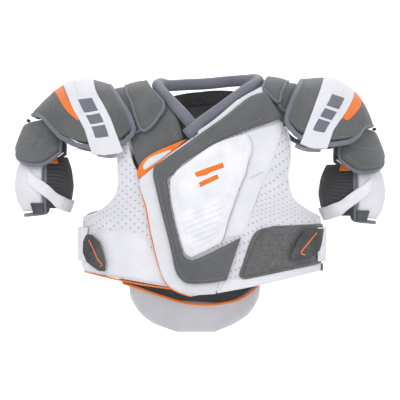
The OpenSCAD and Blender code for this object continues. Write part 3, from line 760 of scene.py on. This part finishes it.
# collar: a smooth padded roll; its left end crosses over its right end
ROLL_WIDTH, ROLL_HEIGHT = 9.4, 9.0     # mm, from the middle of the roll
PATH = [
    (*C(-23, -32), -4), (*C(-34, -20), -4), (*C(-46, -7), -4), (*C(-59, 7), -4), (-67, 15, 0),
    (-69, 0, 0), (-64, -18, 0), (-50, -29, 0), (-24, -33, 0), (10, -35, 0), (44, -33, 0), (72, -26, 0),
    (90, -12, 0), (95, 3, 0), (91, 16, 0), (*C(74, 13), -4), (*C(52, -4), -4), (*C(24, -25), -4),
    (*C(2, -41), -6)]
ring = [torso(a, b) + np.array([0, dy, 4.0]) for a, b, dy in PATH]
over = [torso(*C(-10, -50)) + np.array([0, -12, 3.0]), torso(*C(-21, -58)) + np.array([0, -13, 2.0])]
ring = [torso(*C(-10, -47)) + np.array([0, 0, 3.0])] + ring + over
line = spline(np.array(ring), 260)
outward = line - np.array([10.0, 10.0, 0.0])
outward[:, 2] = 0
outward /= np.linalg.norm(outward, axis=1, keepdims=True)
turns = [t / 20 * 2 * math.pi for t in range(20)]
round_profile = [(ROLL_WIDTH * math.cos(t), ROLL_HEIGHT * math.sin(t)) for t in turns]
sweep("collar_padded_roll", line, outward, round_profile, "binding", "vest", "collar_roll")

# edges: thin orange piping, tape at the armholes, the hems
bind("right_front_hem_piping", torso, [C(-182, -275), C(-140, -284), C(-95, -293), C(-24, -303)], "vest",
    3.5, 2.6, 4.0, "orange")
bind("wrap_edge_piping", torso, [C(-93, -127), C(-90, -146), C(-83, -172), C(-79, -195), C(-76, -212),
    C(-70, -238), C(-63, -265), C(-52, -292), C(-36, -304), C(-14, -312)], "vest", WRAP_IN + 2.5, 2.4, 4.0,
    "orange")
bind("right_armhole_tape", torso, [C(-133, -62), C(-129, -90), C(-128, -112), C(-127, -130), C(-130, -148),
    C(-140, -166), C(-158, -179), C(-183, -188)], "vest", 3.0, 3.4, 6.6, "white")
bind("left_armhole_tape", torso, [C(133, -48), C(137, -68), C(138, -92), C(136, -108), C(134, -122),
    C(137, -144), C(144, -160), C(162, -175), C(183, -188)], "vest", WRAP_IN + 2.5, 3.4, 6.0, "white")
bind("wrap_side_tape", torso, [C(184, -262), C(184, -274)], "vest", WRAP_IN + 3.5, 6.0, 8.0, "quilt", n=12)
bind("back_hem_piping", torso, [B(-130, -298), B(-102, -307), B(-77, -316), B(-32, -330), B(0, -334),
    B(32, -333), B(64, -326), B(87, -312), B(101, -298)],
     "vest", -4.6, 4.0, 5.0, "orange", "back_hem")
for sx, name in ((-1, "right"), (1, "left")):
    bind(f"back_armhole_tape_{name}", torso, [B(sx * 132, -66), B(sx * 129, -90), B(sx * 130, -125),
        B(sx * 136, -150), B(sx * 156, -174), B(sx * 183, -187)], "vest", 3.0, 3.4, 6.6, "white")
bind("back_lower_tape", torso, [B(-183, -275), B(-150, -281), B(-114, -286), B(-8, -287), B(98, -286),
    B(150, -281), B(183, -275)], "vest", 3.0, 3.4, 6.8, "binding")

# tail pad: two stitched seams divide it into three channels
TAIL = behind(
    (-117, -292, 101, -292), (-116, -307, 99, -307), (-114, -322, 97, -322), (-107, -337, 90, -337),
    (-97, -351, 80, -351), (-85, -361, 67, -361), (-71, -369, 53, -369), (-38, -381, 24, -381))


def tail_seams(x, y, z, d, u, v):
    """Two stitched seams that lean toward the tail's middle."""
    a = np.abs(x - (-40 + (-334 - z) * 0.16))
    b = np.abs(x - (20 - (-338 - z) * 0.38))
    return 0.6 - 2.2 * np.exp(-(a / 1.8) ** 2) - 2.2 * np.exp(-(b / 1.8) ** 2)


panel("tail_padding", torso, TAIL, (80, 130), 0, 9, "back", "tail", "tail_pad", edge=7, detail=tail_seams)


# ---------------------------------------------------------------- shoulder caps
TIP = 6.97     # the u where the cap ends
# inner edge and outer edge of the white band, and the flash beside it, from the crown to the front hem
BAND_LINES = {
    -1: ([(-172, 33), (-166, 14), (-154, -8), (-142, -30), (-135, -49), (-131, -64)],
         [(-222, 25), (-213, 8), (-201, -16), (-189, -37), (-181, -53), (-177, -66)],
         [((-236, 14), (-222, 25)), ((-225, 0), (-215, 10)), ((-213, -18), (-205, -9)),
         ((-195, -34), (-191, -32))]),
    1: ([(206, 35), (203, 20), (194, 0), (182, -20), (172, -37), (165, -54)],
        [(251, 17), (246, 4), (236, -14), (222, -35), (212, -49), (205, -61)],
        [((251, 16), (262, 4)), ((246, 3), (259, -8)), ((236, -14), (248, -22)), ((226, -30), (235, -34))])}
for side, name in ((-1, "right"), (1, "left")):
    body, surf, mid = f"{name}_cap", cap(side), (side * 200, 0, -70)
    shell = [((u, -0.94), (u, 0.94)) for u in (0.12, 0.5, 1, 1.6, 2.2, 3, 3.8, 4.5, 5.2, 6, 6.6, TIP)]

    def quilt(x, y, z, d, u, v, side=side):
        """Fine slanted ribs on the neck side of the white band, and plain padding beyond it."""
        slant = side * x * 0.92 + z * 0.42
        ribs = np.exp(-((np.abs((slant / 9.5) % 1 - 0.5) * 2 - 1) * 4.75 / 1.1) ** 2)
        near = 1 / (1 + np.exp((side * x - (168 if side < 0 else 182) + (z + 20) * 0.25) / 3))
        return 0.8 * (1 - np.exp(-d / 12)) - 0.9 * ribs * near * np.clip((d - 7) / 3, 0, 1)

    panel(f"{name}_cap_quilt", surf, shell, (150, 150), -5, 0, "quilt_cap", body, f"{name}_cap_shell",
        edge=5, detail=quilt, centre=mid)
    # the binding folds over the front hem, the neck edge and the back hem
    front_rim = [(u, -0.985) for u in (TIP, 6, 5, 4, 3, 2, 1)]
    front_rim += [(0.35, -0.96), (0.1, -0.84), (0.07, -0.6), (0.07, -0.3)]
    rim = front_rim + [(0.07, 0)] + [(u, -s) for u, s in front_rim[::-1]]
    bind(f"{name}_cap_hem", surf, rim, body, -1.8, 8.0, 6.4, nodes=f"{name}_cap_binding", centre=mid, n=420)
    outer_rim = [(TIP, s) for s in (-0.985, -0.6, -0.3, 0, 0.3, 0.6, 0.985)]
    bind(f"{name}_cap_tip_hem", surf, outer_rim, body, -2.0, 5.0, 6.0, centre=mid, n=90)
    inside = [(max(0.42, min(6.7, u)), s * 0.93) for u, s in rim]
    stitch(surf, inside[1:-1], body, 1.0, mid, gap=4.2)
    # white band across the cap, and the orange flash on its outer side
    inner, outer, flash = BAND_LINES[side]
    inner = [on_cap(side, *q) for q in inner]
    outer = [on_cap(side, *q) for q in outer]
    rows = list(zip(inner, outer))
    rows += [((u0, -s0), (u1, -s1)) for (u0, s0), (u1, s1) in rows[::-1]]
    panel(f"{name}_cap_band", surf, rows, (170, 26), -0.6, 1.6, "white", body, edge=1.6, centre=mid)
    rows = [(on_cap(side, *a), on_cap(side, *b)) for a, b in flash]
    panel(f"{name}_cap_flash", surf, rows, (60, 12), -0.4, 1.4, "orange", body, edge=1.0, centre=mid)
    # three plain grey bars along the band
    for k, (v0, v1) in enumerate(((0.30, 0.47), (0.51, 0.64), (0.68, 0.90))):
        mark = []
        for v in (v0, (v0 + v1) / 2, v1):
            n = v * (len(inner) - 1)
            pa = [np.interp(n, range(len(inner)), [q[c] for q in inner]) for c in (0, 1)]
            pb = [np.interp(n, range(len(outer)), [q[c] for q in outer]) for c in (0, 1)]
            mark.append((tuple(pa[c] + (pb[c] - pa[c]) * 0.26 for c in (0, 1)),
                tuple(pa[c] + (pb[c] - pa[c]) * 0.72 for c in (0, 1))))
        panel(f"{name}_cap_mark_{k}", surf, mark, (20, 12), 1.2, 2.3, "binding", body, edge=0.7,
            sharp=True, centre=mid)
    for u in (2.9, 4.6):
        if side > 0:
            u += 0.6
        stitch(surf, [(u, -0.9), (u - 0.1, -0.5), (u - 0.15, 0), (u - 0.1, 0.5), (u, 0.9)], body, 1.3, mid,
            gap=4.2)

# ---------------------------------------------------------------- flaps and bicep guards
FLAP_PHI = [-100, -75, -50, -25, 0, 25, 50, 75, 100]
FLAP_TOP = [-36, -31, -33, -36, -39, -36, -33, -31, -36]
FLAP_HEM = [-84, -103, -104, -96, -86, -96, -104, -103, -84]
for side, name in ((-1, "right"), (1, "left")):
    body, surf, mid = f"{name}_flap", flap(side), (side * 232, 0, -70)
    rows = [((p * 0.97, t), (p * 0.97, h + 4)) for p, t, h in zip(FLAP_PHI, FLAP_TOP, FLAP_HEM)]
    panel(f"{name}_flap_padding", surf, rows, (130, 50), 0, 6, "quilt", body, f"{name}_flap_pad", edge=4.5,
        detail=puff(1.2, 8), centre=mid)
    bind(f"{name}_flap_hem", surf, [(p * 0.99, h + 1) for p, h in zip(FLAP_PHI, FLAP_HEM)], body, 3.2, 6.0,
        7.0, nodes=f"{name}_flap_binding", centre=mid)
    for end in (-1, 1):
        bind(f"{name}_flap_edge_{'back' if end < 0 else 'front'}", surf,
            [(end * 97, -38), (end * 98.5, -60), (end * 98, -83)], body, 3.2, 5.0, 6.6, centre=mid, n=60)
    stitch(surf, [(p * 0.9, h + 9) for p, h in zip(FLAP_PHI, FLAP_HEM)], body, 7.2, mid)
    stitch(surf, [(p * 0.86, t + (h - t) * 0.5) for p, t, h in zip(FLAP_PHI, FLAP_TOP, FLAP_HEM)], body,
        7.4, mid)

    body, surf, mid = f"{name}_bicep", guard(side), (side * 245, 0, -130)
    shell = [((a, -83), (a, -178)) for a in np.linspace(-80, 80, 9)]
    panel(f"{name}_bicep_cover", surf, shell, (110, 80), -4, 0.4, "white", body, f"{name}_bicep_shell",
        edge=5, detail=lanes(400, 0, 2, 1.2), centre=mid)
    sleeve = [((a, -90), (a, -174)) for a in np.linspace(88, 272, 11)]
    panel(f"{name}_bicep_sleeve", surf, sleeve, (90, 60), -3, -0.3, "lining", body, f"{name}_bicep_liner",
        edge=2, centre=mid)
    edge = [(84, -83), (86, -110), (86, -140), (84, -168), (78, -181), (40, -184), (0, -185), (-40, -184),
        (-78, -181), (-84, -168), (-86, -140), (-86, -110), (-84, -83)]
    bind(f"{name}_bicep_hem", surf, edge, body, -2.0, 6.0, 5.4, nodes=f"{name}_bicep_edge", centre=mid,
        n=360)
    bind(f"{name}_bicep_top_hem", surf, [(84, -83), (40, -82), (0, -82), (-40, -82), (-84, -83)], body,
        -2.0, 5.0, 5.0, centre=mid, n=120)
    lean = [(56, -112, -132), (70, -122, -143), (84, -131, -153), (98, -140, -162), (112, -149, -171),
        (128, -154, -175), (145, -158, -178), (176, -160, -180)]
    band = [((a, t), (a, h)) for a, t, h in lean]
    panel(f"{name}_bicep_elastic", surf, band, (120, 24), 2.7, 4.8, "elastic", body, f"{name}_bicep_band",
        edge=1.4, centre=mid)
    keeper = [((a, -164), (a, -181)) for a in (58, 70, 82)]
    panel(f"{name}_bicep_band_keeper", surf, keeper, (20, 30), 1.5, 5, "rubber", body,
        f"{name}_bicep_keeper", edge=1.6, centre=mid)
    tab = [((a, -84), (a, -102)) for a in (96, 106, 116)]
    panel(f"{name}_bicep_loop_tab", surf, tab, (16, 20), 1.5, 4, "orange", body, f"{name}_bicep_tab",
        edge=1.0, centre=mid)
    stitch(surf, [(78, -88), (80, -110), (80, -140), (78, -166), (70, -175), (40, -177), (0, -178),
        (-40, -177), (-70, -175), (-78, -166), (-80, -140), (-80, -110), (-78, -88)],
           body, 1.7, mid, gap=4.0)
    for row, by in ((1, -2.5), (2, 2.5)):
        stitch(surf, [(q[0], q[row] + by) for q in lean], body, 4.9, mid, gap=3.6, mat="white_thread")

# ---------------------------------------------------------------- waist straps
for side, name in ((-1, "right"), (1, "left")):
    body, surf = f"{name}_strap", waist(side)
    rows = [((a, -204), (a, -258)) for a in np.linspace(64, 128, 10)]
    panel(f"{name}_strap_elastic", surf, rows, (70, 50), 0, 3, "elastic", body, f"{name}_waist_strap",
        edge=1.4)
    for z in (-207.5, -254.5):
        stitch(surf, [(a, z) for a in np.linspace(66, 127, 8)], body, 3.1, gap=3.6, mat="white_thread")
    tab = [((57, -215), (62, -215)), ((50, -226), (66, -226)), ((47, -244), (66.5, -244)),
        ((45.5, -258), (62, -258)), ((45.5, -273), (50, -273))] if side < 0 else \
        [((50, -206), (68, -206)), ((44, -225), (66, -225)), ((41, -240), (63, -240)),
            ((39, -253), (54, -253))]

    def grip(x, y, z, d, u, v, side=side):
        """An oval of finger ribs with a raised rim."""
        cx, cz = (-174, -238) if side < 0 else (178, -232)
        e = np.sqrt(((x - cx) / 9.0) ** 2 + ((z - cz) / 20.0) ** 2)
        ribs = 0.9 * np.cos((z + side * x * 0.3) / 5.2 * 2 * np.pi)
        return np.where(e < 1, -0.4 + ribs * np.clip((1 - e) * 5, 0, 1),
            0.5 * np.exp(-((e - 1.08) / 0.08) ** 2))

    panel(f"{name}_pull_tab", surf, tab, (110, 60), 4, 8, "rubber", body, f"{name}_strap_tab", edge=1.8,
        detail=grip, sharp=True)
    mark = [(58.5, -224), (54.5, -238), (50.5, -254), (47.5, -262),
        (48.5, -266)] if side < 0 else [(59, -212), (52.5, -226), (47, -240), (46.5, -245), (49, -247)]
    bind(f"{name}_tab_mark", surf, mark, body, 8.0, 2.2, 1.6, "orange", n=60)

# ---------------------------------------------------------------- seams of the vest
stitch(torso, [C(97, -4), C(75, -12), C(55, -28), C(13, -58), C(-29, -86), C(-58, -106), C(-65, -117),
    C(-62, -142),
        C(-54, -178), C(-45, -215), C(-38, -246), C(-32, -270), C(-25, -281), C(-15, -286), C(12, -286),
        C(40, -281)], "vest", TOP_IN + 7.2)
stitch(torso, [C(92, -40), C(64, -53), C(42, -62), C(16, -74), C(-20, -94), C(-40, -110), C(-53, -126),
    C(-53, -141), C(-49, -174), C(-41, -209), C(-33, -242),
        C(-27, -255), C(-15, -258), C(-5, -257), C(18, -247), C(58, -226)], "vest", TOP_IN + 7.2)
SIDE_SEAM = [C(112, -66), C(106, -92), C(99, -120), C(88, -156), C(76, -186), C(64, -214)]
stitch(torso, SIDE_SEAM, "vest", WRAP_OUT + 0.9, gap=3.8)
stitch(torso, [C(62, -220), C(50, -256), C(40, -284), C(30, -303)], "vest", WRAP_OUT + 1.4, gap=3.8)
stitch(torso, [C(76, -126), C(88, -120), C(98, -116)], "vest", WRAP_OUT + 2.8, gap=3.4)
stitch(torso, [C(108, -206), C(92, -212), C(86, -222), C(79, -238), C(72, -256), C(66, -274), C(72, -280),
    C(120, -268), C(178, -257)], "vest", TOP_IN + 1.9, gap=3.6, mat="dark_thread")
stitch(torso, [C(-45, -44), C(-37, -62), C(-30, -70)], "vest", BASE_T + 1.4)
stitch(torso, [C(-26, -284), C(-38, -262), C(-46, -236)], "vest", WRAP_OUT + 1.5, gap=4.2,
    mat="white_thread")
sew()

# ---------------------------------------------------------------- stage, light and camera
def area(name, place_at, size, power, aim=(0, 0, -0.15)):
    """A round soft light, in metres and watts, that faces aim."""
    light = bpy.data.lights.new(name, "AREA")
    light.shape, light.size, light.energy = "DISK", size, power
    o = bpy.data.objects.new(name, light)
    o.location = place_at
    o.rotation_euler = (Vector(aim) - Vector(place_at)).to_track_quat("-Z", "Y").to_euler()
    bpy.context.scene.collection.objects.link(o)


area("key", (-1.1, -1.7, 1.5), 1.4, 17)
area("fill", (1.5, -1.5, 0.7), 1.8, 9)
area("back", (0.2, 1.6, 1.4), 1.6, 22)
area("low", (0.0, -1.6, -0.45), 1.6, 3)
area("wall", (0.0, 1.3, 1.7), 2.0, 75, aim=(0, 4.7, 0.5))

FLOOR_Z = -0.55       # metres; the vest hangs above the floor
me = bpy.data.meshes.new("floor")
verts, faces = [], []
prof = [(-6.0, 0.0), (3.2, 0.0)] + [(3.2 + 1.5 * math.sin(t),
    1.5 - 1.5 * math.cos(t)) for t in np.linspace(0.1, math.pi / 2, 12)] + [(4.7, 6.0)]
for y, z in prof:
    verts += [(-7.0, y, z + FLOOR_Z), (7.0, y, z + FLOOR_Z)]
for k in range(len(prof) - 1):
    faces.append((2 * k, 2 * k + 1, 2 * k + 3, 2 * k + 2))
me.from_pydata(verts, [], faces)
me.polygons.foreach_set("use_smooth", [True] * len(me.polygons))
floor = bpy.data.objects.new("floor", me)
bpy.context.scene.collection.objects.link(floor)
ground = Nodes("pale_floor")
tone = ground.noise(3.0, 2.0)
me.materials.append(ground.done(ground.mix(tone, (0.86, 0.86, 0.86), (0.9, 0.9, 0.9)), tone, 0.9,
    sheen=0.0, strength=0.05))

world = bpy.data.worlds.new("studio")
world.use_nodes = True
world.node_tree.nodes["Background"].inputs[0].default_value = (1.0, 1.0, 1.0, 1)
world.node_tree.nodes["Background"].inputs[1].default_value = 0.86
scene = bpy.context.scene
scene.world = world
scene.view_settings.view_transform = "Standard"
# a long lens straight in front of the chest, level with the vest's middle; in mm and metres
LENS, SENSOR = 200, 36
EYE = (0, -3.616, -0.16)
cam = bpy.data.cameras.new("camera")
cam.lens, cam.sensor_width, cam.clip_end = LENS, SENSOR, 30
eye = bpy.data.objects.new("camera", cam)
eye.location = EYE
eye.rotation_euler = (math.pi / 2, 0, 0)
scene.collection.objects.link(eye)
scene.camera = eye
